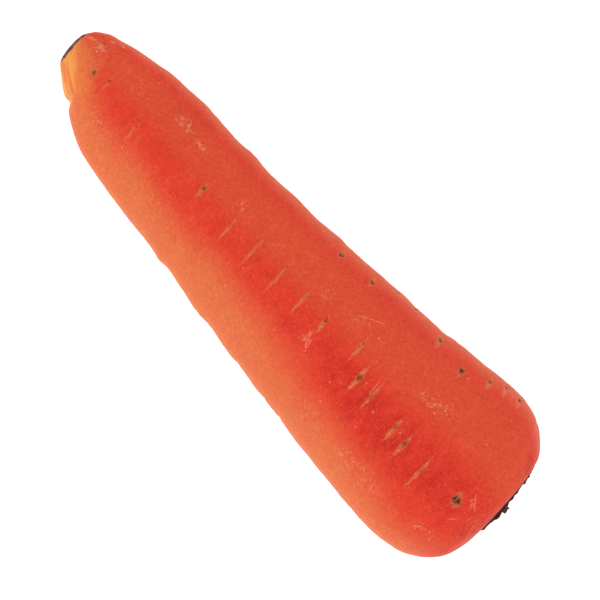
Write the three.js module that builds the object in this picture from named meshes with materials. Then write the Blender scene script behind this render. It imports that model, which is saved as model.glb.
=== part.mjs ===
// A fresh carrot, topped and tailed, lying on its side.
//
// The storage root grew as one piece, so it is one solid: a blunt cut tip, a slowly widening
// body with shallow swellings, a rounded shoulder, and an off-centre leaf scar at the crown.
// The cut leaf stalks that stand on the scar are organs of their own, and each is its own solid.
//
// Frame: millimetres, +Z up, +X from the tip to the crown. The origin is the centre of the
// bounding box, on the surface that the carrot lies on.

import * as THREE from "three";

// ---- Driving dimensions -------------------------------------------------------------------

const LENGTH = 165; // from the cut tip to the highest leaf stalk
const SHOULDER_RADIUS = 26; // at the widest ring
const SHOULDER_AT = 0.89; // where that ring is, as a share of the length
const HEIGHT_SHARE = 0.96; // the root is this much lower than it is wide

const SCAR_RADIUS = 11.2; // the leaf scar's flat face
const SCAR_SHIFT = 5.6; // the scar sits this far to the +Y side of the axis
const SCAR_SLOPE = 0.15; // and leans that way: rise over run
const SCAR_DROOP = 0.08; // it also leans down, so it stands upright when the carrot lies
const LEAN_POWER = 1.2; // how the lean sets in from the shoulder to the scar
const SHIFT_POWER = 2.2; // the sideways shift sets in later than the lean

// The underside runs straight between these two rings, and the carrot lies on it.
const REST_FROM = { along: 0.175, radius: 0.62 }; // shares of LENGTH and SHOULDER_RADIUS
const REST_TO = { along: 0.85, radius: 0.988 };
const FLAT_DEPTH = 0.45; // how far the underside is flattened there

const RINGS = 80; // along the root
const CROWDING = 0.7; // how much closer the rings stand at both ends: 0 is evenly spaced
const SEGMENTS = 48; // around the root

const STALK_GAP = 0.3; // clear space between a leaf stalk and the scar

// The root's outline: [share of LENGTH, share of SHOULDER_RADIUS, sideways drift in mm]. The
// last three rows are the rim of skin round the leaf scar, and the scar, which is sunk below it.
const OUTLINE = [
  [0.0, 0.04, 3.7],
  [0.003, 0.127, 3.1],
  [0.0079, 0.215, 2.2],
  [0.0133, 0.251, 2.4],
  [0.0212, 0.29, 2.4],
  [0.036, 0.342, 2.2],
  [0.066, 0.44, 1.7],
  [0.118, 0.556, 0.6],
  [REST_FROM.along, REST_FROM.radius, 0.3],
  [0.27, 0.672, -0.1],
  [0.39, 0.715, -0.6],
  [0.51, 0.775, -0.8],
  [0.64, 0.862, -0.6],
  [0.76, 0.938, 0.0],
  [REST_TO.along, REST_TO.radius, 0.7],
  [SHOULDER_AT, 1.0, 1.1],
  [0.9315, 0.9365, 1.1],
  [0.9546, 0.846, 1.0],
  [0.9685, 0.765, 0.9],
  [0.9777, 0.69, 0.9],
  [0.983, 0.585, 0.9],
  [0.984, 0.49, 0.9],
  [0.9778, SCAR_RADIUS / SHOULDER_RADIUS, 0.9],
];

// Swellings and hollows: where along the root in mm, where around it in degrees from the top
// towards +Y, height in mm (below 0 for a hollow), and half its length in mm.
const SWELLINGS = [
  { along: 24, around: 90, height: 0.5, reach: 4 },
  { along: 36, around: 90, height: 0.45, reach: 5 },
  { along: 47, around: 90, height: -0.5, reach: 4 },
  { along: 58, around: 90, height: -0.3, reach: 3 },
  { along: 84, around: 90, height: 0.3, reach: 5 },
  { along: 103, around: 90, height: 0.4, reach: 7 },
  { along: 120, around: 90, height: -0.5, reach: 7 },
  { along: 143, around: 90, height: 0.4, reach: 6 },
  { along: 11.5, around: -90, height: -0.6, reach: 2 },
  { along: 22, around: -90, height: 0.55, reach: 5 },
  { along: 49, around: -90, height: -0.5, reach: 3.5 },
  { along: 62, around: -90, height: -0.4, reach: 3 },
  { along: 73, around: -90, height: 0.4, reach: 5 },
  { along: 86, around: -90, height: 0.3, reach: 6 },
  { along: 30, around: 0, height: 0.35, reach: 6 },
  { along: 64, around: 15, height: -0.35, reach: 6 },
  { along: 98, around: -15, height: 0.3, reach: 8 },
  { along: 128, around: 0, height: -0.35, reach: 7 },
];
const SWELLING_SPREAD = THREE.MathUtils.degToRad(55); // half its width around the root

// The leaf stalks stand in whorls: the middle radius of their crescents, how thick and how wide
// round the scar a crescent is, where the first one is, and how high each was cut.
const WHORLS = [
  { name: "outer", radius: 9.2, thick: 2.4, width: 56, first: 20, heights: [1.1, 1.3, 0.9, 1.2, 1.0] },
  { name: "middle", radius: 6.2, thick: 2.0, width: 66, first: 95, heights: [2.3, 1.6, 1.4, 1.7] },
  { name: "inner", radius: 3.5, thick: 1.6, width: 84, first: 10, heights: [1.9, 2.0, 3.1] },
];
const HOLLOW_SHARE = 0.9; // a crescent's hollow side is this much narrower than its back
const BUD_RADIUS = 1.5; // the withered heart between the inner stalks
const BUD_HEIGHT = 1.6;
const CUT_SLOPE = 0.06; // the knife's slant across the stalks
const ARC_STEPS = 7; // straight steps in each arc of a crescent

// ---- Materials ----------------------------------------------------------------------------

const skin = new THREE.MeshStandardMaterial({ color: 0xdb4d2e, roughness: 0.45, metalness: 0 });
const driedStalk = new THREE.MeshStandardMaterial({ color: 0x2e211a, roughness: 0.9, metalness: 0 });

// ---- The root -----------------------------------------------------------------------------

const wholeTurn = 2 * Math.PI;

// The rings of the outline, closer together at its ends, and a point on the axis at each end.
function rootRings() {
  const knots = OUTLINE.map(
    ([along, radius, drift]) =>
      new THREE.Vector3(along * LENGTH, radius * SHOULDER_RADIUS, drift),
  );
  const line = new THREE.CatmullRomCurve3(knots, false, "centripetal");
  const rings = [];
  for (let i = 0; i <= RINGS; i++) {
    const even = i / RINGS;
    const crowded = even - (CROWDING * Math.sin(wholeTurn * even)) / wholeTurn;
    const { x, y, z } = line.getPointAt(crowded);
    rings.push({ along: x, radius: y, drift: z });
  }
  const first = rings[0];
  const last = rings[rings.length - 1];
  return [{ ...first, radius: 0 }, ...rings, { ...last, radius: 0 }];
}

// How far the surface stands out of the plain round form at one place.
function swelling(along, angle) {
  let height = 0;
  for (const s of SWELLINGS) {
    const turn = angle - THREE.MathUtils.degToRad(s.around);
    const apart = Math.atan2(Math.sin(turn), Math.cos(turn)); // the short way round
    const far = ((along - s.along) / s.reach) ** 2 + (apart / SWELLING_SPREAD) ** 2;
    height += s.height * Math.exp(-far);
  }
  return height;
}

// How far a ring hangs below the axis, so that the underside runs straight where it rests.
function hang({ along, radius }) {
  const share = (along / LENGTH - REST_FROM.along) / (REST_TO.along - REST_FROM.along);
  if (share <= 0 || share >= 1) return 0;
  const straight = THREE.MathUtils.lerp(REST_FROM.radius, REST_TO.radius, share);
  return Math.max(straight * SHOULDER_RADIUS - radius, 0) * HEIGHT_SHARE;
}

// 0 along the body, rising from the shoulder's widest ring to 1 on the leaf scar.
function nearnessToScar({ along, radius }) {
  if (along < SHOULDER_AT * LENGTH) return 0;
  const share = (SHOULDER_RADIUS - radius) / (SHOULDER_RADIUS - SCAR_RADIUS);
  return THREE.MathUtils.clamp(share, 0, 1);
}

// A point of a ring before the carrot is laid down. The angle runs from the top towards +Y.
function grown(ring, angle) {
  const onEnd = ring.radius === 0;
  const radius = onEnd ? 0 : ring.radius + swelling(ring.along, angle);
  const nearness = nearnessToScar(ring);
  const across = radius * Math.sin(angle);
  const up = radius * Math.cos(angle) * HEIGHT_SHARE;
  const lean = nearness ** LEAN_POWER * (SCAR_DROOP * up - SCAR_SLOPE * across);
  const shift = SCAR_SHIFT * nearness ** SHIFT_POWER;
  return new THREE.Vector3(ring.along + lean, ring.drift + shift + across, up - hang(ring));
}

// The root is a cone that lies on its side, so its axis rises to the crown.
const rise = (REST_TO.radius - REST_FROM.radius) * SHOULDER_RADIUS * HEIGHT_SHARE;
const run = (REST_TO.along - REST_FROM.along) * LENGTH;
const tilt = new THREE.Matrix4().makeRotationY(-Math.atan2(rise, run));

function makeRoot() {
  const rings = rootRings();
  const turned = new THREE.LatheGeometry(
    rings.map(({ along, radius }) => new THREE.Vector2(radius, along)),
    SEGMENTS,
  );
  // The lathe lists its points ring by ring within each segment, and its last segment is its first.
  const place = turned.getAttribute("position");
  for (let i = 0; i < place.count; i++) {
    const ring = rings[i % rings.length];
    const segment = Math.floor(i / rings.length) % SEGMENTS;
    const angle = -(segment / SEGMENTS) * wholeTurn;
    const point = grown(ring, angle).applyMatrix4(tilt);
    place.setXYZ(i, point.x, point.y, point.z);
  }
  turned.computeBoundingBox();
  const lift = -turned.boundingBox.min.z - FLAT_DEPTH;
  for (let i = 0; i < place.count; i++) {
    place.setZ(i, Math.max(place.getZ(i) + lift, 0)); // flattened where it rests
  }
  const root = new THREE.Mesh(turned, skin);
  root.name = "root";
  const scarCentre = grown(rings[rings.length - 1], 0).applyMatrix4(tilt);
  scarCentre.z += lift;
  return { root, scarCentre };
}

// ---- The leaf stalks ----------------------------------------------------------------------

// Raises a solid over the scar, with its top cut on the knife's slant.
function raise(outline, height) {
  const solid = new THREE.ExtrudeGeometry(outline, {
    depth: height,
    bevelEnabled: false,
    curveSegments: ARC_STEPS,
  });
  const place = solid.getAttribute("position");
  for (let i = 0; i < place.count; i++) {
    if (place.getZ(i) > 0) place.setZ(i, height + CUT_SLOPE * place.getX(i));
  }
  solid.translate(0, 0, STALK_GAP);
  return solid;
}

// A leaf stalk's section: a crescent with its hollow side to the heart of the crown.
function crescent({ radius, thick, width }, middle) {
  const back = THREE.MathUtils.degToRad(width / 2);
  const hollow = HOLLOW_SHARE * back;
  const shape = new THREE.Shape();
  shape.absarc(0, 0, radius + thick / 2, middle - back, middle + back, false);
  shape.absarc(0, 0, radius - thick / 2, middle + hollow, middle - hollow, true);
  return shape;
}

function makeStalks(crown) {
  for (const whorl of WHORLS) {
    const count = whorl.heights.length;
    for (let i = 0; i < count; i++) {
      const middle = THREE.MathUtils.degToRad(whorl.first) + (wholeTurn * i) / count;
      const stalk = new THREE.Mesh(raise(crescent(whorl, middle), whorl.heights[i]), driedStalk);
      stalk.name = `leaf_stalk_${whorl.name}_${i + 1}`;
      crown.add(stalk);
    }
  }
  const heart = new THREE.Shape();
  heart.absarc(0, 0, BUD_RADIUS, 0, wholeTurn, false);
  const bud = new THREE.Mesh(raise(heart, BUD_HEIGHT), driedStalk);
  bud.name = "leaf_bud";
  crown.add(bud);
}

// ---- Assembly -----------------------------------------------------------------------------

const carrot = new THREE.Group();
const { root, scarCentre } = makeRoot();
carrot.add(root);

const crown = new THREE.Group(); // +Z out of the leaf scar
const outOfScar = new THREE.Vector3(1, SCAR_SLOPE, -SCAR_DROOP).transformDirection(tilt);
crown.position.copy(scarCentre);
crown.quaternion.setFromUnitVectors(new THREE.Vector3(0, 0, 1), outOfScar);
makeStalks(crown);
carrot.add(crown);

carrot.updateMatrixWorld(true);
const middle = new THREE.Box3().setFromObject(carrot).getCenter(new THREE.Vector3());
carrot.position.set(-middle.x, -middle.y, 0);

export default carrot;
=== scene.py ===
# %% [markdown]
# # A fresh carrot, topped and tailed
#
# The CAD frame gives this carrot its size and its place: one solid root, and the dry stubs of
# the leaf stalks on its crown. This lesson dresses it. It makes a fine skin for the root, with
# furrows, dimples and the scars of side roots, and then a ragged stub for each leaf stalk. The
# skin's colours come from noise and from values that are painted on the skin's own points.
#
# Blender measures in metres. A carrot is easier to think of in millimetres, so its sizes are
# written in them and multiplied by MM, and the skin's relief is worked out in them.

# %% Load the frame
import math
import random

import bmesh
import bpy
import numpy as np
from mathutils import Matrix, Vector, noise
from mathutils.bvhtree import BVHTree


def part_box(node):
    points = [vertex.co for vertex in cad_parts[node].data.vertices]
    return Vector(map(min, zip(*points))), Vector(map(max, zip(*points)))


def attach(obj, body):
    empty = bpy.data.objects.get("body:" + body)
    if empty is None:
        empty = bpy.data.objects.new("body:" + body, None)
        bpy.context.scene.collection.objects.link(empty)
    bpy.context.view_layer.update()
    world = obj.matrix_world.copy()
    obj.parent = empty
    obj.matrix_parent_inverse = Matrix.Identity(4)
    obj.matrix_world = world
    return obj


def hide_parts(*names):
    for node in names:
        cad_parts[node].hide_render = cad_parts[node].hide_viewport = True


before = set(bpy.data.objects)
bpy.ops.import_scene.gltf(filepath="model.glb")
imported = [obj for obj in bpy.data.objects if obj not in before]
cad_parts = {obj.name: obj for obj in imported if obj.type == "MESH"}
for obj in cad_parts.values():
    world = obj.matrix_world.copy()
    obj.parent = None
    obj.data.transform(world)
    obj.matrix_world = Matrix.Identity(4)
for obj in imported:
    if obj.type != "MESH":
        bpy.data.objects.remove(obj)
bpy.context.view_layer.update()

MM = 0.001
root_low, root_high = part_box("root")

# %% [markdown]
# ## The camera
#
# The carrot is seen from straight above, lying across the view with its crown to the lower
# right. A long lens keeps the round flanks from leaning outwards. It could be an orthographic
# camera, but a real lens shows a little less of the far side of each bulge, as an eye does.


# %% Point the camera down and roll it
def add_object(name, data):
    """Puts a camera, a lamp or a mesh into the scene."""
    item = bpy.data.objects.new(name, data)
    bpy.context.collection.objects.link(item)
    return item


VIEW_WIDTH = 154.8 * MM  # what the camera takes in, at the height of the carrot's axis
LENS = 150
SENSOR = 36
AXIS_HEIGHT = 19 * MM
CROWN_DIP = math.radians(47.8)  # the crown end points this far below the view's horizontal
AIM = Vector((6.88 * MM, 0.18 * MM, AXIS_HEIGHT))

camera_data = bpy.data.cameras.new("camera")
camera_data.lens = LENS
camera_data.sensor_width = SENSOR
camera = add_object("camera", camera_data)
camera.location = AIM + Vector((0, 0, VIEW_WIDTH * LENS / SENSOR))
camera.rotation_euler = (0, 0, CROWN_DIP)
bpy.context.scene.camera = camera
print("camera height in mm:", round(camera.location.z / MM))

# %% [markdown]
# ## The stage and the light
#
# The carrot lies on a light table: a matt white sheet that glows a little by itself. A plain
# sheet would turn grey in the carrot's shadow, and more lamps to clear the shadow would each
# add a sheen to the skin. The sky is a pale grey on all sides. A low and a high soft box on the
# -Y side lighten that flank, and one on the +Y side gives the other flank a faint band. One
# stands beyond each end: they light the top, and a root that is nearly a cylinder shows no
# sheen from there.


# %% Floor and sky
def as_mesh(shape, name):
    """Turns a finished bmesh into a mesh, and frees it."""
    mesh = bpy.data.meshes.new(name)
    shape.to_mesh(mesh)
    shape.free()
    return mesh


FLOOR_SIZE = 6.0
PAPER_WHITE = 0.84
PAPER_ROUGHNESS = 0.9
TABLE_GLOW = 0.46  # brightness, where a fully lit white sheet is 1
SKY = 0.70  # brightness, on the same scale

ground = bmesh.new()
bmesh.ops.create_grid(ground, x_segments=1, y_segments=1, size=FLOOR_SIZE / 2)
floor = add_object("floor", as_mesh(ground, "floor"))

paper = bpy.data.materials.new("floor_paper")
paper.use_nodes = True
paper_shader = paper.node_tree.nodes["Principled BSDF"]
paper_shader.inputs["Base Color"].default_value = (PAPER_WHITE, PAPER_WHITE, PAPER_WHITE, 1)
paper_shader.inputs["Roughness"].default_value = PAPER_ROUGHNESS
paper_shader.inputs["Emission Color"].default_value = (1, 1, 1, 1)
paper_shader.inputs["Emission Strength"].default_value = TABLE_GLOW
floor.data.materials.append(paper)

world = bpy.data.worlds.new("studio")
world.use_nodes = True
world.node_tree.nodes["Background"].inputs["Color"].default_value = (1, 1, 1, 1)
world.node_tree.nodes["Background"].inputs["Strength"].default_value = SKY
bpy.context.scene.world = world
bpy.context.scene.view_settings.view_transform = "Standard"
print("floor", FLOOR_SIZE, "m wide, glowing", TABLE_GLOW, "under a sky of", SKY)

# %% Soft boxes
BOX_DISTANCE = 0.9
BOX_WIDTH = 1.4
# bearing in degrees round from +X, degrees above the floor, height in metres, brightness
SOFT_BOXES = {
    "low_box": (-108, 10, 0.32, 1.9),
    "high_box": (-104, 36, 0.5, 0.85),
    "faint_box": (90, 62, 0.6, 0.9),
    "crown_box": (0, 42, 0.7, 1.0),
    "tip_box": (180, 38, 0.6, 0.9),
}


def soft_box(name, bearing, rise, height, brightness):
    """A rectangular lamp that faces the carrot. Its brightness is on the sky's scale."""
    lamp = bpy.data.lights.new(name, "AREA")
    lamp.shape = "RECTANGLE"
    lamp.size = BOX_WIDTH
    lamp.size_y = height
    lamp.energy = brightness * math.pi * BOX_WIDTH * height
    box = add_object(name, lamp)
    turn, tilt = math.radians(bearing), math.radians(rise)
    flat = math.cos(tilt)
    towards = Vector((math.cos(turn) * flat, math.sin(turn) * flat, math.sin(tilt)))
    box.location = BOX_DISTANCE * towards
    box.rotation_euler = (-towards).to_track_quat("-Z", "Y").to_euler()
    box.visible_camera = False


for name, settings in SOFT_BOXES.items():
    soft_box(name, *settings)
print("soft boxes:", ", ".join(SOFT_BOXES))

# %% [markdown]
# ## A smooth form to work on
#
# The CAD root is made of flat facets, which would catch the light. Smooth shading would hide
# them on top but not at the edge. So its merged copy is turned back into four-sided faces and
# subdivided, which rounds it without changing its size. It is not shown: it is the form that
# the fine skin is laid on.

# %% Round the CAD root
MERGE_DISTANCE = 0.002 * MM
FOLD = math.radians(40)  # two triangles become one face if they bend less than this
SKEW = math.radians(70)  # and if its corners are off square by less than this
ROUNDING_LEVELS = 2


def smooth_form(node):
    """The node's solid, merged and subdivided, as a tree that rays can be cast at."""
    solid = bmesh.new()
    solid.from_mesh(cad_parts[node].data)
    bmesh.ops.remove_doubles(solid, verts=solid.verts, dist=MERGE_DISTANCE)
    bmesh.ops.join_triangles(
        solid,
        faces=solid.faces,
        angle_face_threshold=FOLD,
        angle_shape_threshold=SKEW,
    )
    form = add_object("smooth_form", as_mesh(solid, "smooth_form"))
    print(node, "has", len(form.data.polygons), "faces before it is rounded")
    rounding = form.modifiers.new("rounding", "SUBSURF")
    rounding.levels = ROUNDING_LEVELS
    rounding.render_levels = ROUNDING_LEVELS
    tree = BVHTree.FromObject(form, bpy.context.evaluated_depsgraph_get())
    bpy.data.objects.remove(form)
    return tree


root_form = smooth_form("root")

# %% Find the axis
TIP_BEND = 7.5 * MM  # the skin's rings fan out over each end from a point this far inside it
CROWN_BEND = 23 * MM


def middle_of_section(x):
    """The middle of the root's section at x, found by looking up, down and to both sides."""
    inside = Vector((x, 0, (root_low.z + root_high.z) / 4))
    for axis in (Vector((0, 0, 1)), Vector((0, 1, 0)), Vector((0, 0, 1))):
        ahead = root_form.ray_cast(inside, axis)[0]
        behind = root_form.ray_cast(inside, -axis)[0]
        inside = (ahead + behind) / 2
    return inside


tip_middle = middle_of_section(root_low.x + TIP_BEND)
crown_middle = middle_of_section(root_high.x - CROWN_BEND)
print("axis in mm from", tip_middle / MM, "to", crown_middle / MM)

# %% [markdown]
# ## The skin's mesh
#
# The skin wants small, even faces, closer together along the root than round it, because the
# scars of side roots run across it. A lathe makes them: a vertex is spun through a quarter
# turn for the tip, drawn along the axis, and spun through another quarter for the crown, and
# then the whole line is spun round the axis. Each point of this thin capsule is then moved
# straight out until it meets the smooth form. More subdivision of the CAD copy would be
# simpler, but its faces would be large where the root is thick and crowded at the ends.

# %% Spin a capsule
SEGMENTS = 204
TIP_RINGS = 30
BODY_RINGS = 350
CROWN_RINGS = 88
CAPSULE_RADIUS = 2 * MM
SEAM = 0.001 * MM  # points nearer than this are merged


def spun_capsule(start, end):
    """A capsule of fine rings round the line from start to end."""
    span = (end - start).length
    capsule = bmesh.new()
    first = [capsule.verts.new((-CAPSULE_RADIUS, 0, 0))]
    arc = {"axis": (0, 1, 0), "angle": math.pi / 2}
    last = bmesh.ops.spin(capsule, geom=first, cent=(0, 0, 0), steps=TIP_RINGS, **arc)["geom_last"]
    for _ in range(BODY_RINGS):
        ends = [item for item in last if isinstance(item, bmesh.types.BMVert)]
        last = bmesh.ops.extrude_vert_indiv(capsule, verts=ends)["verts"]
        bmesh.ops.translate(capsule, verts=last, vec=(span / BODY_RINGS, 0, 0))
    bmesh.ops.spin(capsule, geom=last, cent=(span, 0, 0), steps=CROWN_RINGS, **arc)
    bmesh.ops.spin(
        capsule,
        geom=capsule.verts[:] + capsule.edges[:],
        cent=(0, 0, 0),
        axis=(1, 0, 0),
        angle=2 * math.pi,
        steps=SEGMENTS,
        use_merge=True,
    )
    bmesh.ops.remove_doubles(capsule, verts=capsule.verts, dist=SEAM)
    bmesh.ops.recalc_face_normals(capsule, faces=capsule.faces)
    turn = (end - start).to_track_quat("X", "Z").to_matrix().to_4x4()
    bmesh.ops.transform(capsule, matrix=Matrix.Translation(start) @ turn, verts=capsule.verts)
    return capsule


skin = spun_capsule(tip_middle, crown_middle)
print("capsule:", len(skin.verts), "points")

# %% Lay it on the form
SMOOTHING_ROUNDS = 3


def lay_on(capsule, form, start, end):
    """Moves each point straight out from the axis, or from the axis's end, to the form."""
    line = end - start
    for vert in capsule.verts:
        share = min(max(line.dot(vert.co - start) / line.length_squared, 0), 1)
        middle = start + share * line
        vert.co = form.ray_cast(middle, (vert.co - middle).normalized())[0]


lay_on(skin, root_form, tip_middle, crown_middle)
for _ in range(SMOOTHING_ROUNDS):
    bmesh.ops.smooth_vert(
        skin, verts=skin.verts, factor=0.5, use_axis_x=True, use_axis_y=True, use_axis_z=True
    )
root_mesh = as_mesh(skin, "carrot_root")
print("skin:", len(root_mesh.vertices), "points,", len(root_mesh.polygons), "faces")

# %% [markdown]
# ## Places on the skin
#
# A grower would say where a mark is by how far it is from the tip and how far round the root.
# These two numbers are worked out for every point of the skin, together with how far a point
# is from the flat leaf scar at the crown. A loop over the points could do it, but NumPy does
# it for all of them in one go.


# %% Read the points
def read(source, name):
    """A property that has three numbers for each item, as an array with a row for each."""
    values = np.empty(len(source) * 3)
    source.foreach_get(name, values)
    return values.reshape(-1, 3)


point = read(root_mesh.vertices, "co") / MM
normal = read(root_mesh.vertex_normals, "vector")
along = point[:, 0] - root_low.x / MM  # mm from the tip's end
length = (root_high.x - root_low.x) / MM
print("along from", round(along.min(), 2), "to", round(along.max(), 2), "of", round(length, 1), "mm")

# %% Measure how far round
STATIONS = 60  # places along the root where the middle of its section is measured
SLICE = 0.6  # mm to either side of a station

stations = np.linspace(1.0, length - 1.0, STATIONS)
middles = []
for station in stations:
    near = point[np.abs(along - station) < SLICE]
    middles.append((near.min(axis=0) + near.max(axis=0)) / 2)
middles = np.array(middles)
sideways = point[:, 1] - np.interp(along, stations, middles[:, 1])
upward = point[:, 2] - np.interp(along, stations, middles[:, 2])
around = np.degrees(np.arctan2(sideways, upward))  # from the top towards +Y
radius = np.hypot(sideways, upward)
print("girth up to", round(2 * math.pi * radius.max()), "mm")

# %% Find the leaf scar
bud_low, bud_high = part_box("leaf_bud")
bud_middle = (bud_low + bud_high) / 2
scar_middle, scar_normal, _, _ = root_form.ray_cast(bud_middle, Vector((-1, 0, 0)))
from_scar = point - np.array(scar_middle) / MM
scar_height = from_scar @ np.array(scar_normal)
flat = from_scar - scar_height[:, None] * np.array(scar_normal)
scar_distance = np.linalg.norm(flat, axis=1)
print("leaf scar in mm:", scar_middle / MM, "faces", scar_normal)

# %% [markdown]
# ## Side roots and their scars
#
# A carrot carries four rows of thin side roots. Each leaves a thin, pointed, corky scar that
# lies across the root, often with a dark pit, and the skin is drawn in round it. All of them
# could be scattered by chance, but the rows that face up are what one sees first, so they are
# listed one by one: where each scar is, how long and wide, how corky, and how dark and how deep
# its pit is. The two rows underneath are scattered by a seeded random draw.

# %% List the scars that face up
# along in mm, around in degrees, half length and half width in mm, tan, dark, where the pit is
# (-1 to 1 from end to end), depth in mm
SCARS = [
    (10.9, -3, 1.3, 0.65, 0.8, 0.6, 0.1, 0.15),
    (6.9, 44, 0.6, 0.35, 0.3, 0.9, 0.0, 0.1),
    (15.5, 5, 2.5, 0.26, 0.5, 0.8, 0.35, 0.12),
    (29.2, -7.5, 2.6, 0.26, 0.6, 0.4, 0.7, 0.18),
    (52.3, 7, 2.3, 0.6, 0.95, 0.5, 0.3, 0.28),
    (63.8, 1.6, 3.3, 0.38, 0.8, 0.1, 0.5, 0.2),
    (72.3, 5.7, 4.4, 0.28, 0.6, 0.0, 0.3, 0.22),
    (81.3, 5, 4.4, 0.32, 0.6, 0.3, 0.85, 0.24),
    (89.7, 7, 4.0, 0.32, 0.75, 0.1, 0.4, 0.25),
    (97.7, 5, 2.7, 0.5, 0.8, 0.75, 0.6, 0.26),
    (108.1, 13, 3.9, 0.42, 0.85, 0.6, 0.4, 0.3),
    (113.5, -2, 4.2, 0.62, 1.0, 0.7, 0.15, 0.36),
    (118.9, -3, 4.8, 0.3, 0.8, 0.3, 0.0, 0.32),
    (128.6, -8, 3.5, 0.55, 0.9, 0.4, 0.3, 0.32),
    (133.0, -11, 3.5, 0.52, 0.95, 0.7, 0.2, 0.32),
    (140.4, -16, 5.6, 0.34, 0.7, 0.5, 0.2, 0.34),
    (151.5, -10, 2.0, 0.8, 0.9, 1.0, -0.2, 0.4),
    (152.9, -11.5, 1.8, 0.75, 0.85, 1.0, 0.3, 0.4),
    (87.9, 63, 2.2, 0.75, 0.7, 1.0, -0.2, 0.3),
    (98.3, 63, 2.9, 0.75, 0.8, 1.0, -0.2, 0.32),
    (104.7, 82, 2.4, 0.8, 0.8, 0.9, 0.0, 0.36),
    (110.9, 83, 2.8, 0.85, 0.8, 1.0, 0.0, 0.4),
    (120.7, 65, 4.2, 0.85, 0.85, 0.9, 0.15, 0.4),
    (129.7, 53, 2.8, 0.95, 0.7, 1.0, 0.15, 0.42),
    (136.8, 63, 3.6, 0.75, 0.8, 0.5, 0.2, 0.36),
    (141.0, 70, 4.2, 0.65, 0.85, 0.8, 0.5, 0.36),
    (145.7, 70, 4.2, 0.75, 0.85, 1.0, 0.4, 0.36),
    (153.7, 82, 3.2, 0.8, 0.8, 0.9, 0.2, 0.36),
]
print(len(SCARS), "scars face up")

# %% Scatter the two rows underneath
ROWS_BELOW = (160, -100)  # degrees round, one row each
ROW_SEED = 7
ROW_START = (16, 24)  # mm from the tip, the least and the most
ROW_END = 8  # mm from the crown's end
SCAR_GAP = (5, 13)  # mm from one scar to the next

chance = random.Random(ROW_SEED)
for row in ROWS_BELOW:
    place = chance.uniform(*ROW_START)
    while place < length - ROW_END:
        size = 0.6 + 0.5 * place / length  # the scars grow towards the crown
        turn = row + chance.uniform(-9, 9)
        half_long = size * chance.uniform(1.8, 4.4)
        half_wide = size * chance.uniform(0.5, 1.0)
        tan = chance.uniform(0.75, 1.0)
        dark = chance.uniform(0.3, 1.0)
        pit = chance.uniform(-0.3, 0.5)
        depth = size * chance.uniform(0.25, 0.42)
        SCARS.append((place, turn, half_long, half_wide, tan, dark, pit, depth))
        place += chance.uniform(*SCAR_GAP)
print(len(SCARS), "scars in all")

# %% [markdown]
# ## Relief
#
# Close up, a carrot isn't smooth. Shallow wrinkles cross it, its flanks swell and sink, and at
# each side root's scar the skin has a soft dimple and a furrow. Bump in the material could
# pretend all this, but the carrot's edge would stay a clean curve. So every height is added up
# here, in mm, and moved into the points themselves.

# %% Wrinkles
SEED_STEPS = (17.3, 5.7, 11.1)  # how far apart two seeds are in the noise


def cloud(size, seed, stretch=1):
    """Smooth noise between -1 and 1 at every point. Its features are about `size` mm along
    the root, and `stretch` times that across it."""
    offset = Vector([seed * step for step in SEED_STEPS])
    places = point / (size * np.array((1, stretch, stretch)))
    return np.array([noise.noise(Vector(place) + offset) for place in places])


# height in mm, size in mm, seed, stretch
WRINKLES = [
    (0.09, 3.0, 1, 4),
    (0.045, 1.5, 2, 3),
    (0.13, 6.5, 4, 1.8),
    (0.15, 14, 3, 1.5),
]
height = sum(rise * cloud(size, seed, stretch) for rise, size, seed, stretch in WRINKLES)
print("wrinkles from", round(height.min(), 2), "to", round(height.max(), 2), "mm")


# %% Swellings and hollows in the flanks
def ease(low, high, values):
    """0 at low and before it, 1 at high and past it, and a smooth step between them."""
    share = np.clip((values - low) / (high - low), 0, 1)
    return share * share * (3 - 2 * share)


def arc_from(turn):
    """How far round the skin each point is from `turn` degrees, in mm."""
    return np.radians((around - turn + 180) % 360 - 180) * radius


BULGE = 14  # mm, how far round the root a swelling reaches
# for each flank, degrees round: along in mm, half length in mm, height in mm
SWELLINGS = {
    90: [
        (5.5, 3.5, 0.45), (55, 6, 0.3), (69, 9, 0.35), (84.5, 3, 0.2), (101, 7, -0.15),
        (120.5, 3, -0.25), (135, 9, -0.25), (145, 8, -0.5), (154, 5, 0.2),
    ],
    -90: [
        (2.5, 4, -0.35), (19, 9, -0.4), (36, 9, 0.25), (47, 8, 0.35), (56.8, 4, 0.4),
        (73.5, 5, 0.3), (89, 4, 0.2),
    ],
}
for turn, flank in SWELLINGS.items():
    for place, half_long, rise in flank:
        off = np.hypot((along - place) / half_long, arc_from(turn) / BULGE)
        height += rise * ease(1, 0, off)
print("with swellings from", round(height.min(), 2), "to", round(height.max(), 2), "mm")

# %% Dimples and furrows at the scars
SLANT = 0.08  # a scar's +Y end leans to the tip by this much of its length


def from_middle(place, turn):
    """How far each point is from a scar's middle, in mm: across the scar, and along it."""
    lengthwise = arc_from(turn)
    return along - place + SLANT * lengthwise, lengthwise


def ridge(values, middle, width):
    """1 on the middle, falling off softly on both sides."""
    return np.exp(-(((values - middle) / width) ** 2))


def dent(across, lengthwise, half_wide, half_long):
    """A soft oval, 1 in its middle."""
    return ridge(across, 0, half_wide) * ridge(lengthwise, 0, half_long)


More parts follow.
